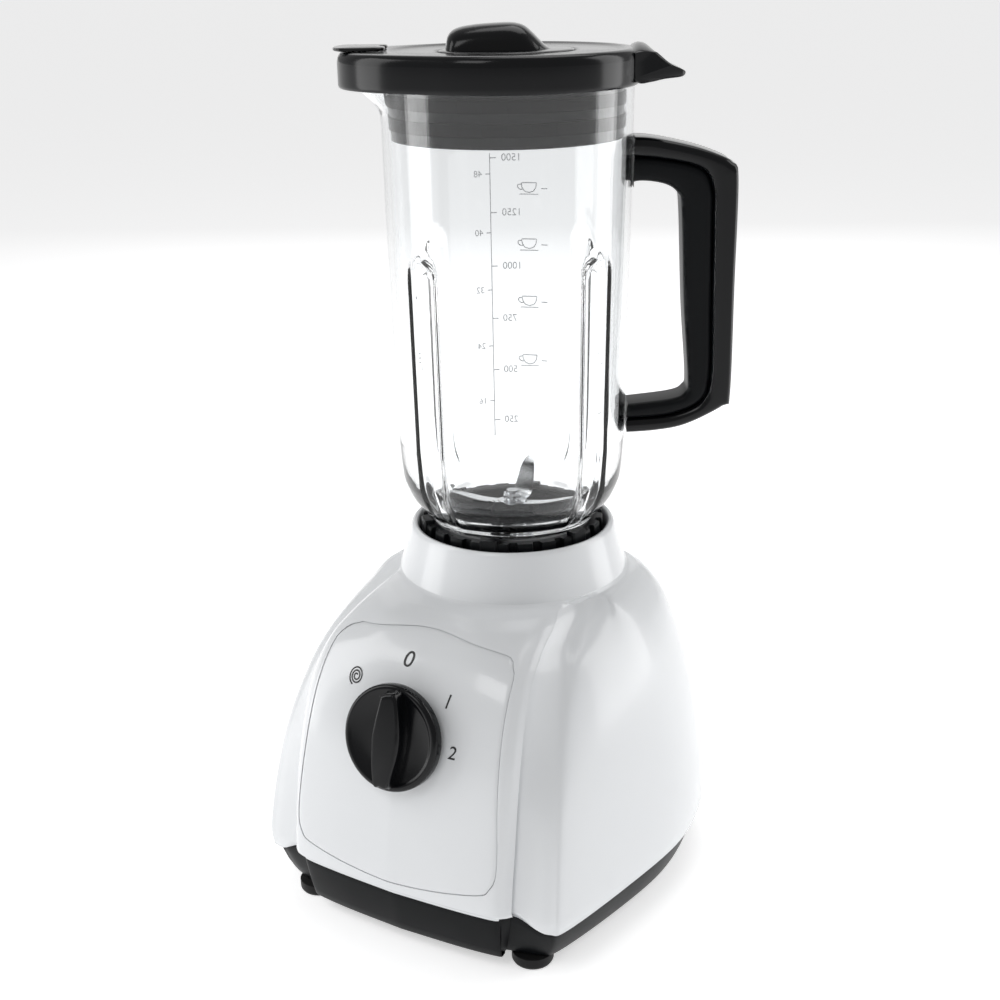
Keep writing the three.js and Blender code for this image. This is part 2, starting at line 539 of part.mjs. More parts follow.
let cap = solid(turned([[CAP_R - 3, 386], [CAP_R - 0.5, 386], [CAP_R - 0.5, 402.5], [CAP_R - 1.8, 402.5],
  [CAP_R - 1.8, 404.9], [CAP_R - 0.5, 404.9], [CAP_R - 0.5, 405.5], [31.2, 405.5],
  [31.2, 407.6], [0, 407.6], [0, 405.2], [CAP_R - 3, 405.2]], 48));
const hump = slab(curve([[-24, 407], [-23, 413], [-18.5, 417], [-10, 418.8], [0, 419.3], [6, 418.6],
  [12, 414.6], [17, 409.6], [20, 407], [18, 405.6], [0, 405.4], [-22, 405.6], [-24, 407]], 30)
  .slice(0, -1), 30);
cap = cap.add(solid(hump));
piece('filler_cap', 'gloss_black', cap, onRim);
piece('cap_seal', 'rubber_black', ring(CAP_R - 1.5, CAP_R - 0.4, 402.8, 404.6, 40), onRim);

export default blender;
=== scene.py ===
import math

import bmesh
import bpy
import numpy as np
from mathutils import Matrix, Vector


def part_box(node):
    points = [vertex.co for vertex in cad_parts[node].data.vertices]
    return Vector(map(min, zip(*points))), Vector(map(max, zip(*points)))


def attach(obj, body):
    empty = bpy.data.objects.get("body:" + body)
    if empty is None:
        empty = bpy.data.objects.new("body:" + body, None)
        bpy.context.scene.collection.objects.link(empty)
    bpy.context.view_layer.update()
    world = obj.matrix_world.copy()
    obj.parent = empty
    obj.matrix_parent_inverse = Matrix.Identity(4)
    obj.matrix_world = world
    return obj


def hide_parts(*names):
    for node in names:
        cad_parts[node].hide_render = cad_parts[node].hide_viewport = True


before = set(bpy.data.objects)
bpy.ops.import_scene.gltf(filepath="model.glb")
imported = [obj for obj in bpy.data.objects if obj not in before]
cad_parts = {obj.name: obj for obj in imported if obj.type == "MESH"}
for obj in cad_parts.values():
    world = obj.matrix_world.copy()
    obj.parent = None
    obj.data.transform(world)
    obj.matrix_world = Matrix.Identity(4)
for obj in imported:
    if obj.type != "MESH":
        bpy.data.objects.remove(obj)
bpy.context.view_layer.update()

MM = 0.001
TURN = math.radians(29.5)      # the jug's handle direction, from +X
KNOB_AT = (0, -110.6, 110)
KNOB_TILT = math.radians(14.5)


# ------------------------------------------------------------ small geometry
def smooth(a, b, v):
    t = np.clip((np.asarray(v, float) - a) / (b - a), 0, 1)
    return t * t * (3 - 2 * t)


def catmull(points, n):
    """n + 1 points along a smooth curve through points, evenly spread by segment."""
    p = np.array(points, float)
    p = np.vstack([2 * p[0] - p[1], p, 2 * p[-1] - p[-2]])
    out = []
    spans = len(p) - 3
    for t in np.linspace(0, spans, n + 1):
        i = min(int(t), spans - 1)
        f = t - i
        a, b, c, d = p[i:i + 4]
        out.append(0.5 * (2 * b + (c - a) * f + (2 * a - 5 * b + 4 * c - d) * f * f
                          + (3 * b - a - 3 * c + d) * f ** 3))
    return np.array(out)


def even(points, n, closed=False):
    """The polyline resampled to n evenly spaced points."""
    p = np.array(points, float)
    if closed:
        p = np.vstack([p, p[:1]])
    s = np.r_[0, np.cumsum(np.linalg.norm(np.diff(p, axis=0), axis=1))]
    t = np.linspace(0, s[-1], n + 1)[:-1] if closed else np.linspace(0, s[-1], n)
    return np.stack([np.interp(t, s, p[:, k]) for k in range(p.shape[1])], 1)


def add_mesh(name, verts, faces, place=None, sharp=38):
    v = np.array(verts, float)
    if place is not None:
        v = v @ np.array(place.to_3x3()).T + np.array(place.translation) / MM
    me = bpy.data.meshes.new(name)
    me.from_pydata((v * MM).tolist(), [], [tuple(int(i) for i in f) for f in faces])
    bm = bmesh.new()
    bm.from_mesh(me)
    bmesh.ops.remove_doubles(bm, verts=bm.verts, dist=2e-6)
    bmesh.ops.recalc_face_normals(bm, faces=bm.faces)
    bm.to_mesh(me)
    bm.free()
    shade(me, sharp)
    ob = bpy.data.objects.new(name, me)
    bpy.context.collection.objects.link(ob)
    return ob


def shade(me, angle):
    for p in me.polygons:
        p.use_smooth = True
    me.set_sharp_from_angle(angle=math.radians(angle))


def grid(rows, wrap_u=True, wrap_v=False, cap_start=False, cap_end=False):
    """Quads over equal rows of points; each row can close on itself."""
    rows = [np.asarray(r, float) for r in rows]
    n, m = len(rows[0]), len(rows)
    verts = np.vstack(rows)
    faces = []
    for k in range(m if wrap_v else m - 1):
        for i in range(n if wrap_u else n - 1):
            j, q = (i + 1) % n, (k + 1) % m
            faces.append((k * n + i, k * n + j, q * n + j, q * n + i))
    for on, k in ((cap_start, 0), (cap_end, m - 1)):
        if on:
            faces.append(tuple(range(k * n, k * n + n)))
    return verts, faces


def turned(profile, n=96, rounded=0.0):
    """A turned solid about +Z from [radius, z] points, closed on itself or on the axis."""
    p = np.array(round_corners(profile, rounded) if rounded else profile, float)
    a = np.linspace(0, 2 * math.pi, n, endpoint=False)
    rows = [np.stack([r * np.cos(a), r * np.sin(a), np.full(n, z)], 1) for r, z in p]
    closed = p[0][0] > 1e-6 or p[-1][0] > 1e-6
    return grid(rows, wrap_v=closed)


def round_corners(points, r, steps=4, closed=None):
    """Each corner of a polyline becomes a short arc of about radius r."""
    p = [np.array(q, float) for q in points]
    closed = (p[0][0] > 1e-6) if closed is None else closed
    out = []
    n = len(p)
    for i in range(n):
        if not closed and i in (0, n - 1):
            out.append(p[i])
            continue
        a, b, c = p[i - 1], p[i], p[(i + 1) % n]
        la, lc = np.linalg.norm(a - b), np.linalg.norm(c - b)
        if la < 1e-6 or lc < 1e-6:
            out.append(b)
            continue
        k = min(r, la * 0.45, lc * 0.45)
        s, e = b + (a - b) / la * k, b + (c - b) / lc * k
        for t in np.linspace(0, 1, steps + 1):
            out.append((1 - t) ** 2 * s + 2 * t * (1 - t) * b + t * t * e)
    return out


def join(name, parts, place=None, sharp=38):
    verts, faces, base = [], [], 0
    for v, f in parts:
        verts.append(np.asarray(v, float))
        faces += [tuple(i + base for i in q) for q in f]
        base += len(v)
    return add_mesh(name, np.vstack(verts), faces, place, sharp)


def moved(part, rot=None, at=(0, 0, 0)):
    v, f = part
    v = np.asarray(v, float)
    if rot is not None:
        v = v @ np.array(rot.to_3x3()).T
    return v + np.array(at, float), f


def apply_modifiers(ob):
    deps = bpy.context.evaluated_depsgraph_get()
    me = bpy.data.meshes.new_from_object(ob.evaluated_get(deps))
    ob.modifiers.clear()
    old = ob.data
    ob.data = me
    bpy.data.meshes.remove(old)
    return ob


def cut(ob, tools, sharp=38):
    for t in tools:
        m = ob.modifiers.new("cut", "BOOLEAN")
        m.object, m.operation, m.solver = t, "DIFFERENCE", "EXACT"
        m.use_self = False
    apply_modifiers(ob)
    for t in tools:
        bpy.data.objects.remove(t)
    shade(ob.data, sharp)
    return ob


JUG = Matrix.Rotation(TURN, 4, "Z")
KNOB = Matrix.Translation(Vector(KNOB_AT) * MM) @ Matrix.Rotation(math.pi / 2 - KNOB_TILT, 4, "X")


# ----------------------------------------------------------------- materials
def material(name, color, rough, metal=0.0, coat=0.0, grain=900, bump=0.02, tint=0.04, streak=None,
             transmission=0.0, ior=1.46, bands=None, wear=0.0, sheen=0.0, smudge=0.06, specular=0.5):
    """A moulded, turned or ground surface: grain in the bump, soft smudges in the
    roughness, a little colour drift, and streaks or bands where the piece has them."""
    m = bpy.data.materials.new(name)
    m.use_nodes = True
    m.diffuse_color = (*color, 1)
    t = m.node_tree
    t.nodes.clear()
    out = t.nodes.new("ShaderNodeOutputMaterial")
    b = t.nodes.new("ShaderNodeBsdfPrincipled")
    t.links.new(b.outputs[0], out.inputs[0])
    co = t.nodes.new("ShaderNodeTexCoord").outputs["Object"]

    def noise(scale, detail=3, stretch=None):
        src = co
        if stretch:
            mp = t.nodes.new("ShaderNodeMapping")
            mp.inputs["Scale"].default_value = stretch
            t.links.new(co, mp.inputs["Vector"])
            src = mp.outputs[0]
        n = t.nodes.new("ShaderNodeTexNoise")
        n.inputs["Scale"].default_value = scale
        n.inputs["Detail"].default_value = detail
        t.links.new(src, n.inputs["Vector"])
        return n.outputs["Fac"]

    def ramp(src, lo, hi):
        r = t.nodes.new("ShaderNodeMapRange")
        r.inputs["From Min"].default_value = 0.3
        r.inputs["From Max"].default_value = 0.7
        r.inputs["To Min"].default_value = lo
        r.inputs["To Max"].default_value = hi
        t.links.new(src, r.inputs["Value"])
        return r.outputs[0]

    mix = t.nodes.new("ShaderNodeMix")
    mix.data_type = "RGBA"
    mix.inputs[6].default_value = (*[c * (1 - tint) for c in color], 1)
    mix.inputs[7].default_value = (*[min(1, c * (1 + tint)) for c in color], 1)
    t.links.new(noise(14, 2), mix.inputs[0])
    t.links.new(mix.outputs[2], b.inputs["Base Color"])
    if wear:
        geo = t.nodes.new("ShaderNodeNewGeometry")
        edge = t.nodes.new("ShaderNodeMapRange")
        edge.inputs["From Min"].default_value = 0.52
        edge.inputs["From Max"].default_value = 0.6
        edge.inputs["To Max"].default_value = wear
        t.links.new(geo.outputs["Pointiness"], edge.inputs["Value"])
        over = t.nodes.new("ShaderNodeMix")
        over.data_type = "RGBA"
        over.inputs[7].default_value = (*[min(1, c * 1.6 + 0.03) for c in color], 1)
        t.links.new(edge.outputs[0], over.inputs[0])
        t.links.new(mix.outputs[2], over.inputs[6])
        t.links.new(over.outputs[2], b.inputs["Base Color"])
    t.links.new(ramp(noise(38, 4), max(0.01, rough * (1 - smudge)), rough * (1 + smudge)), b.inputs["Roughness"])
    b.inputs["Metallic"].default_value = metal
    b.inputs["Coat Weight"].default_value = coat
    b.inputs["Coat Roughness"].default_value = 0.06
    b.inputs["IOR"].default_value = ior
    b.inputs["Transmission Weight"].default_value = transmission
    b.inputs["Specular IOR Level"].default_value = specular
    b.inputs["Sheen Weight"].default_value = sheen
    height = noise(grain, 2)
    if streak:
        height = noise(streak[0], 4, streak[1])
    if bands:
        w = t.nodes.new("ShaderNodeTexWave")
        w.wave_type, w.bands_direction = "BANDS", "Z"
        w.inputs["Scale"].default_value = bands
        t.links.new(co, w.inputs["Vector"])
        height = w.outputs["Fac"]
    bp = t.nodes.new("ShaderNodeBump")
    bp.inputs["Strength"].default_value = bump
    bp.inputs["Distance"].default_value = 0.0002
    t.links.new(height, bp.inputs["Height"])
    t.links.new(bp.outputs[0], b.inputs["Normal"])
    return m


M = {
    "white_plastic": material("white_plastic", (0.735, 0.75, 0.765), 0.24, coat=0.25, grain=700, bump=0.035, tint=0.012),
    "panel_plastic": material("panel_plastic", (0.725, 0.74, 0.755), 0.2, coat=0.3, grain=900, bump=0.02, tint=0.01),
    "black_plastic": material("black_plastic", (0.0035, 0.0042, 0.005), 0.36, specular=0.13, grain=1600, bump=0.12, tint=0.1, wear=0.15),
    "gloss_black": material("gloss_black", (0.0025, 0.0028, 0.0035), 0.17, specular=0.3, grain=500, bump=0.015, tint=0.1),
    "rubber_black": material("rubber_black", (0.007, 0.007, 0.0075), 0.6, specular=0.25, grain=1400, bump=0.3, tint=0.12, sheen=0.1),
    "seal_grey": material("seal_grey", (0.55, 0.56, 0.57), 0.42, grain=900, bump=0.05, transmission=0.25),
    "steel": material("steel", (0.56, 0.57, 0.58), 0.26, metal=1, streak=(300, (1, 1, 9)), bump=0.12),
    "blade_steel": material("blade_steel", (0.70, 0.71, 0.72), 0.17, metal=1, streak=(420, (1, 12, 1)), bump=0.14),
    "iron": material("iron", (0.25, 0.25, 0.26), 0.45, metal=1, bands=700, bump=0.5),
    "copper": material("copper", (0.62, 0.26, 0.10), 0.3, metal=1, bands=420, bump=0.7, coat=0.4),
    "brass": material("brass", (0.72, 0.54, 0.22), 0.28, metal=1, grain=800, bump=0.06),
    "carbon": material("carbon", (0.02, 0.02, 0.021), 0.6, grain=1500, bump=0.3),
    "nylon": material("nylon", (0.70, 0.68, 0.62), 0.45, grain=900, bump=0.08),
    "clear_plastic": material("clear_plastic", (0.965, 0.975, 0.98), 0.012, transmission=1, ior=1.47, grain=60,
                              bump=0.01, tint=0.003, smudge=0.3),
    "print_black": material("print_black", (0.012, 0.012, 0.013), 0.4, grain=1200, bump=0.05),
    "print_white": material("print_white", (0.85, 0.86, 0.87), 0.4, grain=1200, bump=0.05),
}


def finish_piece(ob, look, body, *nodes, slot=True):
    ob.data.materials.clear()
    ob.data.materials.append(M[look])
    for p in ob.data.polygons:
        p.material_index = 0
    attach(ob, body)
    if nodes:
        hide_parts(*nodes)
    return ob


# ------------------------------------------------------------- housing form
# z, front, crease x and y, corner x and y, half width, back
SECTIONS = np.array([
    [27, -122, 61, -113, 82, -107, 99, 78], [34, -124, 61, -114, 82.5, -107.5, 99.5, 79],
    [46, -124.5, 61, -113, 82, -106, 99, 78.5], [66, -121.5, 61, -110, 80.5, -102, 96.5, 76.5],
    [88, -117, 60.5, -106, 78, -96, 92.5, 73.5], [108, -111.5, 59.5, -100.5, 74.5, -87, 87.5, 69.5],
    [125, -104.5, 58, -93, 70.5, -76, 82, 65.5], [138, -96, 55.8, -82, 65.5, -62, 76.5, 61.5],
    [146, -87.5, 52.8, -67, 60, -46, 71.5, 57.5], [151.5, -78.5, 50, -50, 57.6, -32, 66.5, 53.5],
    [155, -67, 47, -40, 54.3, -25, 61.5, 50]], float)
LEVELS = catmull(SECTIONS, 110)


def row_at(z):
    return np.array([np.interp(z, LEVELS[:, 0], LEVELS[:, k]) for k in range(8)])


def front_curve(row, d, n=44):
    _, yf, cx, cy, *_ = row
    return catmull([[0, yf + d], [cx * 0.5, yf + 1.4 + d], [cx - 9, yf + (cy - yf) * 0.36 + d],
                    [cx - 3 - d * 0.8, yf + (cy - yf) * 0.64 + d], [cx - d, cy + d]], n)


def half_section(row, d=0.0):
    _, yf, cx, cy, tx, ty, sx, yb = row
    step = (0.4 if d > 0 else 1.9) * float(smooth(155, 141, row[0]))
    mid_x, mid_y = tx + 1.5 + (sx - tx - 1.5) * 0.62, max(-55, ty + 6 - (ty + 18) * 0.45)
    side = catmull([[cx - step * 0.75 - d, cy + step + d], [tx - 5 - d, ty - 1.5 + d],
                    [tx + 1.5 - d, ty + 6 + d], [mid_x - d, mid_y + d * 0.3], [sx - d, max(-12, ty + 16)],
                    [sx - 3 - d, 22], [sx * 0.86 - d, yb * 0.68 - d * 0.4],
                    [sx * 0.66 - d * 0.5, yb - 6 - d], [sx * 0.33, yb - d], [0, yb - d]], 72)
    return np.vstack([front_curve(row, d), side])


def section(row, d=0.0, z=None):
    h = half_section(row, d)
    left = h[1:-1][::-1] * [-1, 1]
    p = np.vstack([h, left])
    zz = np.full(len(p), row[0]) if z is None else (z(p[:, 0], p[:, 1]) if callable(z) else np.asarray(z) * np.ones(len(p)))
    return np.column_stack([p, zz])


def lower_edge(x, y):
    return 26 + 7 * smooth(-80, -104, y) * (1 - smooth(60, 77, np.abs(x)))


def front_y(x, z):
    """The front face's y at a height and a distance from the middle."""
    c = front_curve(row_at(z), 0, 30)
    return np.interp(abs(x), c[:, 0], c[:, 1])


outer = [section(row) for row in LEVELS]
outer[0] = section(LEVELS[0], 0, lower_edge)
edge_z = outer[0][:, 2]
for k in range(1, 12):
    outer[k][:, 2] = np.maximum(outer[k][:, 2], edge_z + k * 0.28)
lip = section(LEVELS[0], 0.5)
lip[:, 2] = edge_z - 0.15


def to_ring(t, radius, z):
    """The housing's top row, part or all of the way to a ring under the collar."""
    p = section(LEVELS[-1])
    ring = p[:, :2] / np.linalg.norm(p[:, :2], axis=1)[:, None] * radius
    return np.column_stack([p[:, :2] * (1 - t) + ring * t, 155 + (z - 155) * np.ones(len(p))])


top = [to_ring(0.2, 57.8, 155.35), to_ring(0.45, 57.8, 155.7), to_ring(0.7, 57.8, 156.05), to_ring(0.88, 57.8, 156.5),
       to_ring(1, 57.8, 157.3), to_ring(1, 57.0, 158.0), to_ring(1, 55.4, 157)]
inside = [section(row, 3.0) for row in LEVELS[:-14:6]][::-1]
inside[-1] = section(LEVELS[0], 3.0)
inside[-1][:, 2] = edge_z
roof = [to_ring(1, 54, 152), to_ring(1, 53, 149.5)]
shell = grid([lip] + outer + top + roof + inside, wrap_v=True)
housing_body = add_mesh("housing_shell", *shell)

# The panel's rounded outline, and its pocket in the front.
panel_line = even(catmull([
    [-38, 147.5], [0, 151.5], [38, 147.5], [46.5, 143.5], [50, 134], [53.5, 90], [55.5, 60],
    [53, 49], [44, 44], [0, 39], [-44, 44], [-53, 49], [-55.5, 60], [-53.5, 90], [-50, 134],
    [-46.5, 143.5], [-38, 147.5]], 160)[:-1], 180, closed=True)


def over_front(grow, depths, rings=64):
    """A closed plate over the front: its outline grown, its two faces at these depths."""
    c = np.array([0, 95.0])
    d = panel_line - c
    line = c + d * (1 + grow / np.linalg.norm(d, axis=1))[:, None]
    rows = []
    for side, depth in enumerate(depths):
        scale = np.linspace(0.02, 1, rings)
        for s in (scale if side == 0 else scale[::-1]):
            p = c + (line - c) * s
            fade = 0.35 * smooth(0.985, 1.0, s) if side == 0 and grow < 0 else 0
            rows.append([[x, front_y(x, min(z, 154.5)) + depth + fade, z] for x, z in p])
    return grid(rows, cap_start=True, cap_end=True)


pocket = add_mesh("pocket", *over_front(0.0, (-12, 2.1)))
knob_hole = add_mesh("knob_hole", *turned([[0, -16], [5.2, -16], [5.2, 9], [0, 9]], 48), place=KNOB)
gland_turn = Matrix.Rotation(-math.pi / 2, 4, "X")
gland_hole = join("gland_hole", [moved(turned([[0, 60], [7.3, 60], [7.3, 95], [0, 95]], 48), gland_turn, (0, 0, 44))])
cut(housing_body, [pocket, knob_hole, gland_hole], sharp=32)
collar = add_mesh("collar", *turned(
    [[17, 146], [49.5, 146], [50, 141], [56.2, 141], [57.3, 150], [57.6, 156.5], [57.0, 158.8], [55.7, 163], [53.7, 170],
     [52.0, 176], [51.2, 178.8], [50.6, 180.2], [49.6, 181], [48.6, 180.9], [47.8, 180.2], [47.3, 179],
     [46.9, 176], [46.9, 149.4], [46, 148.5], [17, 148.5]], 220), sharp=40)
pin_hole = join("pin_hole", [moved(turned([[0, 140], [3.3, 140], [3.3, 152], [0, 152]], 32), None, (-38, 0, 0))])
cut(collar, [pin_hole], sharp=40)
bpy.ops.object.select_all(action="DESELECT")
collar.select_set(True)
housing_body.select_set(True)
bpy.context.view_layer.objects.active = housing_body
bpy.ops.object.join()
finish_piece(housing_body, "white_plastic", "base", "motor_housing")

panel = add_mesh("front_panel", *over_front(-0.35, (0.0, 1.8)))
panel_hole = add_mesh("panel_hole", *turned([[0, -16], [5.2, -16], [5.2, 9], [0, 9]], 48), place=KNOB)
cut(panel, [panel_hole], sharp=32)
finish_piece(panel, "panel_plastic", "base", "control_panel")

# ---------------------------------------------------------------- base tray
def tray_row(d, z=None, bulge=0.0):
    r = section(LEVELS[0], d)
    r[:, 1] -= bulge * smooth(-80, -110, r[:, 1]) * (1 - smooth(30, 70, np.abs(r[:, 0])))
    r[:, 2] = (edge_z - 0.6) if z is None else z
    return r


def tray_mid(d, f, bulge):
    r = tray_row(d, None, bulge)
    r[:, 2] = 6 + (r[:, 2] - 6) * f
    return r


def shrunk(row, f):
    return row * [f, f, 1]


tray_rows = [shrunk(tray_row(12, 6), 0.3), tray_row(12, 6), tray_row(9.6, 6.1, 0.8), tray_row(8.4, 6.6, 1), tray_row(7.8, 7.6, 1.2),
             tray_mid(6.6, 0.22, 1.2), tray_mid(4.6, 0.5, 0.8), tray_mid(3.0, 0.8, 0.4), tray_mid(2.4, 0.95, 0.2),
             tray_row(2.6), tray_row(4.6), tray_mid(6, 0.5, 0), tray_row(11, 8.6), shrunk(tray_row(11, 8.6), 0.3)]
tray = add_mesh("tray", *grid(tray_rows, cap_start=True, cap_end=True))
slots = []
for i in range(9):
    w, y = 22 - abs(i - 4) * 2.5, -20 + i * 6.5
    a = np.linspace(-math.pi / 2, math.pi / 2, 9)
    line = np.vstack([np.column_stack([w + 1.5 * np.cos(a), y + 1.5 * np.sin(a)]),
                      np.column_stack([-w - 1.5 * np.cos(a), y - 1.5 * np.sin(a)])])
    slots.append(grid([np.column_stack([line, np.full(len(line), z)]) for z in (2.0, 12.0)], cap_start=True, cap_end=True))
SCREWS = [(-56, -78), (56, -78), (-62, 36), (62, 36)]
for x, y in SCREWS:
    slots.append(moved(turned([[0, 2], [4.6, 2], [4.6, 19], [0, 19]], 40), None, (x, y, 0)))
cut(tray, [join("tray_cuts", slots)], sharp=35)
finish_piece(tray, "black_plastic", "base", "base_tray")
FEET = [(-62, -96), (62, -96), (-64, 50), (64, 50)]
for i, (x, y) in enumerate(FEET):
    foot = turned(round_corners([[0, 0], [4, 0], [4.4, 0.7], [8.2, 0.7], [8.6, 0], [9.2, 0], [10, 1.4], [10, 5.7],
                                 [3.7, 5.7], [3.7, 9], [0, 9]], 0.35, closed=False), 56)
    finish_piece(join(f"rubber_foot_{i + 1}", [moved(foot, None, (x, y, 0))]), "rubber_black", "base", f"foot_{i + 1}")



# Base screws, each with a cross recess, sunk in the tray.
cross = []
for a in range(4):
    cross += [[math.cos(a * math.pi / 2 - 0.42) * 0.85, math.sin(a * math.pi / 2 - 0.42) * 0.85],
              [math.cos(a * math.pi / 2 - 0.21) * 2.1, math.sin(a * math.pi / 2 - 0.21) * 2.1],
              [math.cos(a * math.pi / 2 + 0.21) * 2.1, math.sin(a * math.pi / 2 + 0.21) * 2.1]]
cross = np.array(cross)
for i, (x, y) in enumerate(SCREWS):
    lo, hi = (np.array(c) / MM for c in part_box(f"base_screw_{i + 1}"))
    zb, zt = lo[2], hi[2]
    head = turned(round_corners([[0, zb], [3.4, zb], [3.9, zb + 0.7], [3.9, zb + 2.3], [1.5, zb + 2.4], [1.5, zt - 1],
                                 [0.9, zt], [0, zt]], 0.3, closed=False), 36)
    screw = join(f"screw_{i + 1}", [head])
    recess = join("recess", [grid([np.column_stack([cross, np.full(12, z)]) for z in (zb - 1, zb + 1.3)],
                                  cap_start=True, cap_end=True)])
    cut(screw, [recess])
    mid = ((lo + hi) / 2)
    screw.data.transform(Matrix.Translation((mid[0] * MM, mid[1] * MM, 0)))
    finish_piece(screw, "steel", "base", f"base_screw_{i + 1}")

# ------------------------------------------------------------ control knob
grip_line = even(catmull([[-3.2, 21], [0, 22.2], [4.6, 20.6], [8.4, 0], [4.6, -20.6], [0, -22.2], [-3.2, -21],
                          [-6.6, 0], [-3.2, 21]], 120)[:-1], 96, closed=True)
grip_rows = []
for grow, z in ((1.2, 6.6), (0.8, 7.5), (0.3, 8.2), (0.05, 9.5), (-0.2, 11.3), (-0.6, 12.3), (-1.2, 12.85), (-2.0, 13.0),
                (-3.0, 13.05)):
    d = grip_line / np.linalg.norm(grip_line, axis=1)[:, None]
    p = grip_line + d * np.minimum(grow, 50) * np.minimum(1, np.linalg.norm(grip_line, axis=1) / 9)[:, None]
    grip_rows.append(np.column_stack([p, np.full(len(p), z)]))
grip = grid(grip_rows, cap_start=True, cap_end=True)
dial = turned([[0, 1.6], [24.2, 1.6], [24.9, 2.0], [25.0, 2.6], [25.0, 5.6], [24.8, 6.5], [24.2, 7.1], [23.3, 7.4],
               [22.3, 7.3], [21.6, 7.0], [20.8, 6.75], [12, 6.5], [0, 6.4]], 160)
knob = join("selector_knob", [dial, grip], KNOB, sharp=34)
finish_piece(knob, "gloss_black", "knob", "knob")


# ---------------------------------------------------------- printed marks
def font_text(body, size, shear=0.0):
    cu = bpy.data.curves.new("mark", "FONT")
    cu.body, cu.size, cu.shear = body, size, shear
    cu.align_x, cu.align_y = "CENTER", "CENTER"
    cu.resolution_u = 6
    ob = bpy.data.objects.new("mark", cu)
    bpy.context.collection.objects.link(ob)
    me = bpy.data.meshes.new_from_object(ob)
    bpy.data.objects.remove(ob)
    v = np.array([q.co[:] for q in me.vertices]) if len(me.vertices) else np.zeros((0, 3))
    f = [tuple(q.vertices) for q in me.polygons]
    bpy.data.meshes.remove(me)
    return v, f


def stroke(points, width, closed=False):
    """A flat ribbon of this width along a path in the plane."""
    p = np.array(points, float)
    t = np.gradient(p, axis=0)
    n = np.column_stack([-t[:, 1], t[:, 0]]) / np.maximum(1e-9, np.linalg.norm(t, axis=1))[:, None]
    v = np.vstack([p + n * width / 2, p - n * width / 2])
    v = np.column_stack([v, np.zeros(len(v))])
    k = len(p)
    f = [(i, i + 1, k + i + 1, k + i) for i in range(k - 1)]
    return v, f


def mark_plate(name, flat, onto, thick, look, body):
    """Flat artwork laid on a surface: onto takes flat points to surface points at a depth."""
    verts, faces, base = [], [], 0
    for v, f in flat:
        if not len(v):
            continue
        top = np.array([onto(x, y, thick) for x, y, *_ in v])
        low = np.array([onto(x, y, -0.02) for x, y, *_ in v])
        n = len(v)
        verts += [top, low]
        faces += [tuple(base + i for i in q) for q in f]
        faces += [tuple(base + n + i for i in reversed(q)) for q in f]
        edges = {}
        for q in f:
            for a, b in zip(q, q[1:] + q[:1]):
                edges[(a, b)] = edges.get((b, a), 0) + 1
        for (a, b), c in edges.items():
            if (b, a) not in edges:
                faces.append((base + a, base + n + a, base + n + b, base + b))
        base += 2 * n
    ob = add_mesh(name, np.vstack(verts), faces)
    return finish_piece(ob, look, body, slot=False)


def on_front(x, z, h):
    """A point of the front face, from its x and its z, standing h proud of it."""
    e = 0.4
    y = float(front_y(x, z))
    dx = (float(front_y(x + e, z)) - float(front_y(x - e, z))) / (2 * e)
    dz = (float(front_y(x, z + e)) - float(front_y(x, z - e))) / (2 * e)
    n = np.array([dx, -1, dz])
    n /= np.linalg.norm(n)
    return np.array([x, y, z]) + n * h


DIAL_Z = KNOB_AT[2]
marks = []
for text, angle, size, lean in (("0", 0, 9.5, 0.06), ("1", 52, 8.5, 0.16), ("2", 92, 8.5, 0.16)):
    v, f = font_text(text, size, lean)
    r = 32.5
    cx, cz = -3.6 + r * math.sin(math.radians(angle)), DIAL_Z - 1 + r * math.cos(math.radians(angle)) * math.cos(KNOB_TILT)
    v = v * ([1.22, 0.86, 1] if text == "0" else [0.98, 0.98, 1]) + [cx, cz, 0]
    marks.append((v, f))
t = np.linspace(0.8, 2.7 * 2 * math.pi, 70)
r = 0.55 + 0.2 * t
a0 = math.radians(-50)
cx, cz = -3.6 + 33.0 * math.sin(a0), DIAL_Z - 1 + 33.0 * math.cos(a0) * math.cos(KNOB_TILT)
marks.append(stroke(np.column_stack([cx + r * np.cos(t), cz + r * np.sin(t)]), 0.62))
mark_plate("dial_marks", marks, on_front, 0.14, "print_black", "base")

# ------------------------------------------------------------------- gland
gland = turned(round_corners([[0, 70], [11, 70], [11, 72.6], [7.1, 73], [7.1, 80.4], [9.5, 80.6], [9.5, 82.2], [8.6, 83.2],
                              [7.6, 84], [7.2, 97.4], [6.2, 98], [4.2, 98], [4.0, 96], [4.0, 76], [0, 76]], 0.5, closed=False), 64)
rings = [turned([[7.0, z], [8.0 - 0.1 * k, z + 0.4], [8.0 - 0.1 * k, z + 1.4], [7.0, z + 1.8]], 48)
         for k, z in enumerate((85.5, 88.5, 91.5, 94.4))]
gland_piece = join("cord_grommet", [moved(g, gland_turn, (0, 0, 44)) for g in [gland] + rings])
finish_piece(gland_piece, "rubber_black", "base", "cord_gland")

# --------------------------------------------------------------------- jug
OUTSIDE = [[40.4, 172.7], [40.4, 184], [42, 187], [46, 190.8], [49.8, 195.6], [52.6, 201.6], [54.2, 208], [55.6, 226],
           [57, 300], [57.3, 314], [57.4, 321], [58.2, 380], [58.3, 388.5], [58.4, 396], [58.4, 400.6]]
INSIDE = [[55.7, 400.9], [55.4, 396], [55.3, 388.5], [55.2, 380], [54.5, 321], [54.4, 314], [54.1, 300], [52.6, 226],
          [50.9, 209.6], [48.6, 203], [45.2, 197.6], [40.8, 193], [37.4, 189.6], [36.8, 186], [36.8, 172.7]]
RIBS = [45, 135, 225, 315]


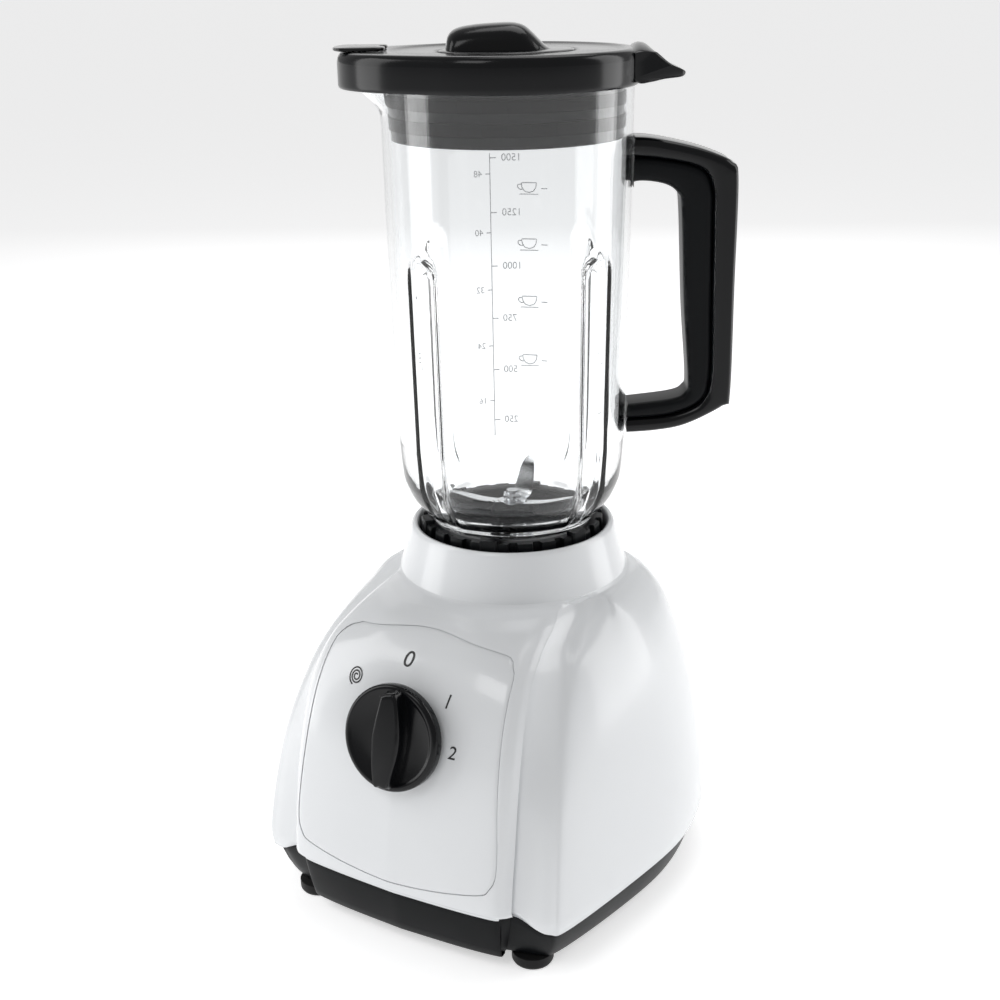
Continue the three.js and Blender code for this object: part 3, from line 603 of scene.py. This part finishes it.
def spread(profile, step):
    """The profile with points no further apart than step."""
    out = [profile[0]]
    for a, b in zip(profile, profile[1:]):
        n = max(1, int(math.ceil(math.dist(a, b) / step)))
        out += [[a[0] + (b[0] - a[0]) * k / n, a[1] + (b[1] - a[1]) * k / n] for k in range(1, n + 1)]
    return out


def jug_row(r, z, inner, n=432):
    deg = np.arange(n) * 360 / n
    off = np.abs((deg - 180 + 180) % 360 - 180)
    spout = np.cos(np.radians(np.minimum(off / 30, 1) * 90)) ** 2
    rad = r + 13.5 * float(smooth(380, 397, z)) * spout
    rib = np.zeros(n)
    for a in RIBS:
        u = np.radians(np.abs((deg - a + 180) % 360 - 180)) * 56
        d = np.hypot(u, max(0.0, z - 311))
        rib = np.maximum(rib, smooth(9.2, 6.4 if not inner else 4.8, d))
    rad = rad - rib * (4.2 if inner else 1.5) * float(smooth(186, 203, z))
    a = np.radians(deg)
    return np.column_stack([rad * np.cos(a), rad * np.sin(a), np.full(n, z)])


out_line = spread(even(catmull(OUTSIDE[1:8], 60), 46).tolist() + OUTSIDE[8:], 3.2)
in_line = spread(INSIDE[:8] + even(catmull(INSIDE[7:], 60), 46).tolist()[1:], 3.2)
rim = [[58.1, 401.1], [57.4, 401.5], [56.6, 401.5], [56.0, 401.3]]
foot = [[36.8, 172.9], [37.2, 172.6], [40.0, 172.6], [40.4, 173.0]]
wall = [jug_row(*p, True) for p in in_line[:-1]] + [jug_row(*p, True) for p in foot[:2]] + \
       [jug_row(*p, False) for p in foot[2:]] + [jug_row(*p, False) for p in out_line] + \
       [jug_row(*p, False) for p in rim[:2]] + [jug_row(*p, True) for p in rim[2:]]
jug = add_mesh("jug_wall", *grid(wall, wrap_v=True), place=JUG, sharp=70)


def on_jug(side):
    """Flat (arc, height) artwork laid on the jug's outside, read from outside, round local angle side."""
    def lay(x, z, h):
        a = side + x / 57.3
        r = 57.0 + (z - 300) * 0.0145 + 0.03 + h
        p = Vector((r * math.cos(a), r * math.sin(a), z))
        return np.array(JUG @ p)
    return lay


scale_art = []
line_x = 9.4
scale_art.append(stroke([[line_x, z] for z in np.linspace(207, 354.6, 40)], 0.45))
for k in range(6):
    z = 352.4 - 27.3 * k
    scale_art.append(stroke([[line_x, z], [line_x - 3.2, z]], 0.5))
    v, f = font_text(str(1500 - 250 * k), 5.2)
    scale_art.append((np.asarray(v) + [line_x - 3.9 - (7.2 if k < 3 else 5.6), z, 0], f))
for k in range(5):
    z = 344.5 - 29.5 * k
    scale_art.append(stroke([[line_x, z], [line_x + 2.4, z]], 0.5))
    v, f = font_text(str(48 - 8 * k), 4.6)
    scale_art.append((np.asarray(v) + [line_x + 6.4, z, 0], f))
for z in (337.5, 309.2, 279.6, 248.6):
    x0 = -10.8
    bowl = [[x0 - 4, z + 2.4], [x0 - 3.7, z + 0.2], [x0 - 2.4, z - 1.8], [x0, z - 2.5], [x0 + 2.4, z - 1.8],
            [x0 + 3.7, z + 0.2], [x0 + 4, z + 2.4], [x0 - 4, z + 2.4]]
    scale_art.append(stroke(even(bowl, 44), 0.5))
    ear = [[x0 + 3.9, z + 1.6], [x0 + 5.6, z + 1.5], [x0 + 5.9, z + 0.2], [x0 + 4.6, z - 0.9], [x0 + 3.2, z - 0.8]]
    scale_art.append(stroke(catmull(ear, 20), 0.5))
    scale_art.append(stroke([[x0 - 5, z - 3.3], [x0 + 5, z - 3.3]], 0.45))
    scale_art.append(stroke([[x0 - 10, z - 0.4], [x0 - 6.6, z - 0.4]], 0.5))
mark_plate("scale_marks", scale_art, on_jug(math.pi / 2), 0.05, "print_white", "jug")
finish_piece(jug, "clear_plastic", "jug", "jug_body")

# ------------------------------------------------------------- jug's handle
H_IN = [[52, 345.5], [60, 348.6], [72, 347.2], [78.4, 343], [80.4, 335], [82.6, 290], [85.4, 254], [84.2, 247.2],
        [78, 244.2], [60, 242], [52, 241.4]]
H_MID = [[52, 360], [70, 358.6], [88, 354.4], [94, 346], [95, 330], [95.6, 290], [96, 256], [92, 243], [78, 236.4],
         [60, 234.6], [52, 234.4]]
H_OUT = [[52, 368.8], [66, 368.2], [84.4, 364.4], [97, 360.2], [103.6, 356.4], [106.4, 349], [106.4, 300],
         [106.2, 246], [103, 240.4], [85.2, 231.4], [70, 228.4], [52, 227.4]]


def bow(a, b, w, edge, n=120, jug_gap=0.35):
    """A closed bow between two outlines in the handle's plane, with rounded edges."""
    pa, pb = even(catmull(a, 200), n), even(catmull(b, 200), n)
    rows = []
    prof = []
    k = 6
    for cx, cy, a0 in ((1, -1, -90), (1, 1, 0), (0, 1, 90), (0, -1, 180)):
        for t in np.linspace(0, 90, k):
            ang = math.radians(a0 + t)
            prof.append((cx, cy, math.cos(ang), math.sin(ang)))
    for i in range(n):
        d = pb[i] - pa[i]
        L = np.linalg.norm(d)
        u = d / L
        e = min(edge, L * 0.45)
        ring = []
        for cx, cy, ca, sa in prof:
            s = (L - e if cx else e) + e * ca
            y = (w / 2 - e) * cy + e * sa
            q = pa[i] + u * s
            ring.append([q[0], y, q[1]])
        rows.append(ring)
    rows = np.array(rows)
    for r in (rows[0], rows[-1]):
        lim = np.sqrt(np.maximum(0, (57.6 + (r[:, 2] - 300) * 0.014 + jug_gap) ** 2 - r[:, 1] ** 2))
        r[:, 0] = lim
    for k in range(1, 12):
        for r in (rows[k], rows[-1 - k]):
            lim = np.sqrt(np.maximum(0, (57.6 + (r[:, 2] - 300) * 0.014 + jug_gap + k * 0.02) ** 2 - r[:, 1] ** 2))
            r[:, 0] = np.maximum(r[:, 0], lim)
    return grid(list(rows), cap_start=True, cap_end=True)


core = add_mesh("grip_inner", *bow(H_IN, H_MID, 21, 3.2), place=JUG, sharp=50)
finish_piece(core, "black_plastic", "jug", "handle_core")
cover = add_mesh("grip_cover", *bow([[p[0], p[1]] for p in catmull(H_MID, 60)], H_OUT, 23, 3.6), place=JUG, sharp=50)
finish_piece(cover, "gloss_black", "jug", "handle_cover")

# ------------------------------------------------------- jug's base and ring
def ring_solid(outer_of, rows, inner_r, z0, z1, n=480):
    a = np.arange(n) * 2 * math.pi / n
    out = []
    for z, f in rows:
        r = outer_of(a, z) * f
        out.append(np.column_stack([r * np.cos(a), r * np.sin(a), np.full(n, z)]))
    for z in (z1, z0):
        out.append(np.column_stack([inner_r * np.cos(a), inner_r * np.sin(a), np.full(n, z)]))
    return grid(out, wrap_v=True)


def notched(a, z):
    teeth = smooth(0.25, 0.6, np.cos(24 * a)) * 2.4
    return 45.4 - teeth * float(smooth(168, 172, z))


ring_rows = [(149.2, 0.985), (149.8, 0.998), (151, 1), (166, 1), (168, 1), (169, 1), (170, 1), (171, 1), (172, 1), (176, 1),
             (181.8, 1), (182.8, 0.996), (183.4, 0.985)]
ring_parts = [ring_solid(notched, ring_rows, 33.2, 149.2, 183.4)]
for i in range(6):
    a = i * math.pi / 3 + 0.26
    lug = grid([np.column_stack([np.array([[41.4, -4.4], [45.6, -4.4], [46.2, -3.6], [46.2, 3.6], [45.6, 4.4],
                                           [41.4, 4.4]]) @ [[math.cos(a), math.sin(a)], [-math.sin(a), math.cos(a)]],
                                 np.full(6, z)]) for z in (176.5, 177, 184.8, 185.3)], cap_start=True, cap_end=True)
    ring_parts.append(lug)
base_ring = join("jug_ring", ring_parts, JUG, sharp=30)
finish_piece(base_ring, "black_plastic", "jug", "jug_base_ring")

# --------------------------------------------------------------------- lid
LID_R, LID_NOSE = 60.5, 16.5


def lid_r(deg, d=0.0):
    off = np.abs((np.asarray(deg) + 180) % 360 - 180)
    return LID_R - d + LID_NOSE * np.cos(np.radians(np.minimum((180 - off) / 62, 1) * 90)) ** 2


def lid_row(d, z, n=360, round_to=None):
    deg = np.arange(n) * 360 / n
    r = lid_r(deg, d) if round_to is None else np.full(n, float(round_to))
    a = np.radians(deg)
    return np.column_stack([r * np.cos(a), r * np.sin(a), np.full(n, z)])


edge = [(2.0, 392), (0.7, 392.1), (0.25, 392.6), (0, 393.6), (0, 395), (0, 403.2), (0.15, 404.8), (0.55, 406), (1.2, 407),
        (2.0, 407.6), (3.0, 407.95), (4.4, 408.05)]
lid_rows = [lid_row(d, z) for d, z in edge]
lid_rows += [lid_row(0, 408.1, round_to=54.5), lid_row(0, 407.6, round_to=53.2), lid_row(0, 407.2, round_to=51.5),
             lid_row(0, 407.3, round_to=34.6), lid_row(0, 407.2, round_to=33.2), lid_row(0, 406.8, round_to=32.2),
             lid_row(0, 405.9, round_to=31.7), lid_row(0, 405.2, round_to=31.3), lid_row(0, 405.2, round_to=26.0),
             lid_row(0, 402.6, round_to=26.0), lid_row(0, 402.6, round_to=51.2), lid_row(0, 369.6, round_to=51.2),
             lid_row(0, 369.0, round_to=51.8), lid_row(0, 369.0, round_to=53.0), lid_row(0, 369.5, round_to=53.7)]
for z0, z1 in ((374, 380), (384, 390)):
    lid_rows += [lid_row(0, z0, round_to=53.8), lid_row(0, z0 + 0.2, round_to=52.2), lid_row(0, z1 - 0.2, round_to=52.2),
                 lid_row(0, z1, round_to=53.8)]
lid_rows += [lid_row(0, 394.6, round_to=53.8), lid_row(0, 402.4, round_to=53.9), lid_row(0, 402.6, round_to=54.2),
             lid_row(3.4, 402.6), lid_row(3.0, 402.2), lid_row(2.6, 393)]
lid_part = grid(lid_rows, wrap_v=True)
TAB = [[56, 407.2], [57.2, 408.9], [58.6, 409.8], [60.5, 410.1], [63.4, 409.1], [68, 405.3], [73.5, 400.9], [78.3, 398.7],
       [80.6, 397.2], [80.2, 395.7], [78, 394.9], [71, 394.3], [65, 393.3], [59, 393.0], [56, 396]]
tab_line = even(catmull(TAB + [TAB[0]], 120)[:-1], 80, closed=True)
tab_rows = []
for y, grow in ((-12.6, -1.0), (-12.3, -0.4), (-11.6, 0), (-9, 0), (-4, -0.15), (0, -0.2), (4, -0.15), (9, 0), (11.6, 0),
                (12.3, -0.4), (12.6, -1.0)):
    c = tab_line.mean(0)
    d = tab_line - c
    p = c + d * (1 + grow / np.linalg.norm(d, axis=1))[:, None]
    width = np.interp(p[:, 0], [56, 60, 64, 69, 75, 79, 81], [1.75, 1.6, 1.36, 1.14, 1.0, 0.88, 0.7])
    crown = 1 - 0.8 * (abs(y) / 12.6) ** 2
    high = np.where(p[:, 1] > 406, 406 + (p[:, 1] - 406) * crown, p[:, 1])
    tab_rows.append(np.column_stack([p[:, 0], y * width, high]))
tab = grid(tab_rows, cap_start=True, cap_end=True)
lid = join("lid_top", [lid_part, tab], JUG, sharp=34)
finish_piece(lid, "gloss_black", "lid", "lid_body")

flap_line = even(round_corners([[-78.6, -3], [-77.6, -9], [-75.2, -14.5], [-73, -15.6], [-56.5, -14.4], [-54.6, -12], [-54.6, -4],
                                [-57.2, -2.6], [-57.2, 2.6], [-54.6, 4], [-54.6, 12], [-56.5, 14.4], [-73, 15.6],
                                [-75.2, 14.5], [-77.6, 9], [-78.6, 3]], 1.4, 4, True), 90,
                 closed=True)
flap_rows = []
for grow, z in ((-0.6, 408.35), (0, 408.7), (0, 409.5), (-0.3, 409.8), (-0.8, 409.95)):
    c = np.array([-64.5, 0])
    d = flap_line - c
    p = c + d * (1 + grow / np.linalg.norm(d, axis=1))[:, None]
    flap_rows.append(np.column_stack([p, np.full(len(p), z)]))
flap = join("pour_flap", [grid(flap_rows, cap_start=True, cap_end=True)], JUG, sharp=34)
finish_piece(flap, "gloss_black", "lid", "spout_flap")

# -------------------------------------------------------------- filler cap
cap_disc = turned([[0, 404.9], [22.9, 404.9], [22.9, 386.4], [23.3, 386], [25.1, 386], [25.4, 386.4], [25.4, 393.6],
                   [25.0, 393.9], [25.0, 396.2], [25.4, 396.5], [25.4, 405.3], [30.4, 405.5], [31.0, 405.9],
                   [31.1, 406.6], [30.8, 407.3], [30.2, 407.65], [29.2, 407.8], [0, 407.85]], 200)
HUMP = [[-27.6, 406.6], [-27.3, 410.4], [-26.4, 413.8], [-24.2, 416.2], [-20.5, 417.6], [-15.5, 418.4], [-10, 418.9],
        [0, 419.3], [5, 418.9], [8.6, 417.6], [12, 414.8], [14.6, 412.2], [17, 409.8], [19.6, 408.1], [22, 407.4],
        [22, 406.6]]
hump_line = even(catmull(HUMP, 160), 110)
hump_line = np.vstack([hump_line, [[10, 406.6], [-10, 406.6]]])
hump_rows = []
for y in np.sin(np.linspace(-math.pi / 2, math.pi / 2, 29)) * 15.2:
    drop = 9.5 * (1 - math.sqrt(max(0.0, 1 - (abs(y) / 15.25) ** 2.6)))
    p = hump_line.copy()
    z = np.maximum(406.6, p[:, 1] - drop * np.clip((p[:, 1] - 406.6) / 5, 0, 1))
    x = p[:, 0] + np.where(p[:, 0] < -14, drop * 0.35, -drop * 0.15) * (p[:, 1] > 406.7)
    hump_rows.append(np.column_stack([x, np.full(len(p), y), z]))
hump = grid(hump_rows, cap_start=True, cap_end=True)
cap_piece = join("filler_cap_top", [cap_disc, hump], JUG, sharp=34)
finish_piece(cap_piece, "gloss_black", "cap", "filler_cap")

# ------------------------------------------------------------- blades, nut
def blade_piece(name, tips, z_hub, thick=1.3):
    """Two ground arms on one hub, each bent up or down along its length."""
    rows_out = []
    for side, (length, lift, width) in enumerate(tips):
        sgn = 1 if side == 0 else -1
        arm = []
        for t in np.linspace(0, 1, 26):
            x = 5.6 + (length - 5.6) * t
            w = width * (1 - 0.62 * t ** 2.2) * (1 if t < 0.93 else math.sqrt(max(0.05, 1 - ((t - 0.93) / 0.075) ** 2)))
            z = z_hub + lift * float(smooth(0.12, 0.85, t)) * t
            lead = 0.32 * thick
            sweep = 2.5 * t * t
            ring = [[x, -w / 2 + sweep, z - 0.1], [x, -w / 2 + 2.0 + sweep, z - thick / 2],
                    [x, w / 2 - 0.2 + sweep, z - thick / 2], [x, w / 2 + sweep, z], [x, w / 2 - 0.2 + sweep, z + thick / 2],
                    [x, -w / 2 + 2.0 + sweep, z + thick / 2 - lead * 0.3], [x, -w / 2 + sweep, z + 0.1]]
            arm.append(np.array(ring) * [sgn, sgn, 1])
        rows_out.append(grid(arm, cap_start=True, cap_end=True))
    hub = turned([[3.25, z_hub - thick / 2], [7.4, z_hub - thick / 2], [7.6, z_hub], [7.4, z_hub + thick / 2],
                  [3.25, z_hub + thick / 2]], 64)
    return join(name, rows_out + [hub], sharp=30)


for name, node, tips in (("cutter_lower", "blade_lower", ((33.5, 4.5, 11), (33.5, 4.5, 11))),
                         ("cutter_upper", "blade_upper", ((32.5, 15.5, 11), (32.5, 12.5, 11)))):
    z_hub = 185.4 if node == "blade_lower" else 187.2
    ob = blade_piece(name, tips, z_hub)
    ob.data.transform(Matrix.Rotation(math.radians(8 if node == "blade_lower" else 98), 4, "Z"))
    finish_piece(ob, "blade_steel", "blades", node)
hexa = [[5.2 * math.cos(a), 5.2 * math.sin(a)] for a in np.arange(6) * math.pi / 3]
hexa = np.array(round_corners(hexa, 0.5, 3, True))
nut = join("cutter_nut", [grid([np.column_stack([hexa * s, np.full(len(hexa), z)]) for z, s in
                                ((189.6, 0.94), (190.0, 1), (192.4, 1), (192.9, 0.95), (193.0, 0.88))],
                               cap_start=True, cap_end=True)])
finish_piece(nut, "steel", "blades", "blade_nut")

# --------------------------------------- finishes of the pieces kept as packed
KEPT = {
    "steel": ["knob_shaft", "motor_shaft", "blade_shaft", "motor_bracket_top", "motor_bracket_bottom", "bearing_top",
              "bearing_bottom"],
    "iron": ["stator_core", "armature_core"],
    "copper": ["field_coil_front", "field_coil_back", "armature_winding_top", "armature_winding_bottom", "commutator"],
    "brass": ["brush_holder_left", "brush_holder_right", "blade_bush"],
    "carbon": ["brush_left", "brush_right"],
    "rubber_black": ["lid_seal_lower", "lid_seal_upper", "motor_mount_1", "motor_mount_2", "motor_mount_3", "motor_mount_4"],
    "nylon": ["motor_fan", "interlock_pin", "drive_coupling"],
    "black_plastic": ["rotary_switch", "interlock_switch", "driven_coupling", "blade_carrier"],
    "seal_grey": ["jug_seal", "cap_seal"],
}
for look, names in KEPT.items():
    for n in names:
        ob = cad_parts[n]
        ob.data.materials.clear()
        ob.data.materials.append(M[look])
for n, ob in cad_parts.items():
    if not any(n in names for names in KEPT.values()) and not ob.hide_render:
        print("still plain:", n)

# -------------------------------------------------------- floor, light, camera
floor = bpy.data.meshes.new("floor")
bm = bmesh.new()
bmesh.ops.create_grid(bm, x_segments=2, y_segments=2, size=60)
bm.to_mesh(floor)
bm.free()
floor_ob = bpy.data.objects.new("floor", floor)
floor_mat = bpy.data.materials.new("pale_floor")
floor_mat.use_nodes = True
fb = floor_mat.node_tree.nodes["Principled BSDF"]
fb.inputs["Base Color"].default_value = (0.93, 0.93, 0.935, 1)
fb.inputs["Roughness"].default_value = 0.9
fb.inputs["Emission Color"].default_value = (1, 1, 1, 1)
fb.inputs["Emission Strength"].default_value = 0.5
fb.inputs["Specular IOR Level"].default_value = 0.1
floor.materials.append(floor_mat)
bpy.context.collection.objects.link(floor_ob)


def soft_box(name, at, toward, w, h, power, color=(1, 1, 1)):
    li = bpy.data.lights.new(name, "AREA")
    li.shape, li.size, li.size_y, li.energy, li.color = "RECTANGLE", w, h, power, color
    ob = bpy.data.objects.new(name, li)
    ob.location = at
    ob.rotation_euler = (Vector(toward) - Vector(at)).to_track_quat("-Z", "Y").to_euler()
    bpy.context.collection.objects.link(ob)
    return ob


def round_axis(az, dist, z):
    """A place at this distance, seen from the camera's side turned by az degrees to the right."""
    a = math.radians(29.5 + az)
    return (dist * math.sin(a), -dist * math.cos(a), z)


soft_box("key_left", round_axis(-88, 1.0, 0.5), (0, 0, 0.2), 0.5, 1.3, 5.8)
soft_box("key_right", round_axis(100, 1.0, 0.5), (0, 0, 0.2), 0.5, 1.3, 5.4)
soft_box("over", round_axis(150, 0.5, 1.5), (0, 0, 0.2), 0.8, 0.8, 4)
soft_box("front_fill", round_axis(-35, 1.3, 1.7), (0, 0, 0.1), 0.7, 0.7, 5)
soft_box("back_glow", round_axis(178, 1.6, 0.9), (0, 0, 0.3), 1.6, 1.2, 4)

world = bpy.data.worlds.new("studio")
bpy.context.scene.world = world
world.use_nodes = True
bg = world.node_tree.nodes["Background"]
bg.inputs["Color"].default_value = (1, 1, 1, 1)
bg.inputs["Strength"].default_value = 0.36

cam_data = bpy.data.cameras.new("camera")
cam = bpy.data.objects.new("camera", cam_data)
bpy.context.collection.objects.link(cam)
cam_data.type, cam_data.lens, cam_data.sensor_width = "PERSP", 54, 36
cam_data.clip_start, cam_data.clip_end = 0.01, 50
az, pitch, yaw, roll = math.radians(29.5), 0.3487, -0.00888, -0.01676
fwd = Vector((math.sin(yaw) * math.cos(pitch), math.cos(yaw) * math.cos(pitch), -math.sin(pitch)))
right = Vector((math.cos(yaw), -math.sin(yaw), 0))
up = right.cross(fwd)
right_r = right * math.cos(roll) + up * math.sin(roll)
up_r = up * math.cos(roll) - right * math.sin(roll)
turn = Matrix((right_r, up_r, -fwd)).transposed()
cam.matrix_world = Matrix.Translation((0.3494, -0.6175, 0.4479)) @ (Matrix.Rotation(az, 3, "Z") @ turn).to_4x4()
bpy.context.scene.camera = cam
bpy.context.scene.view_settings.view_transform = "Standard"
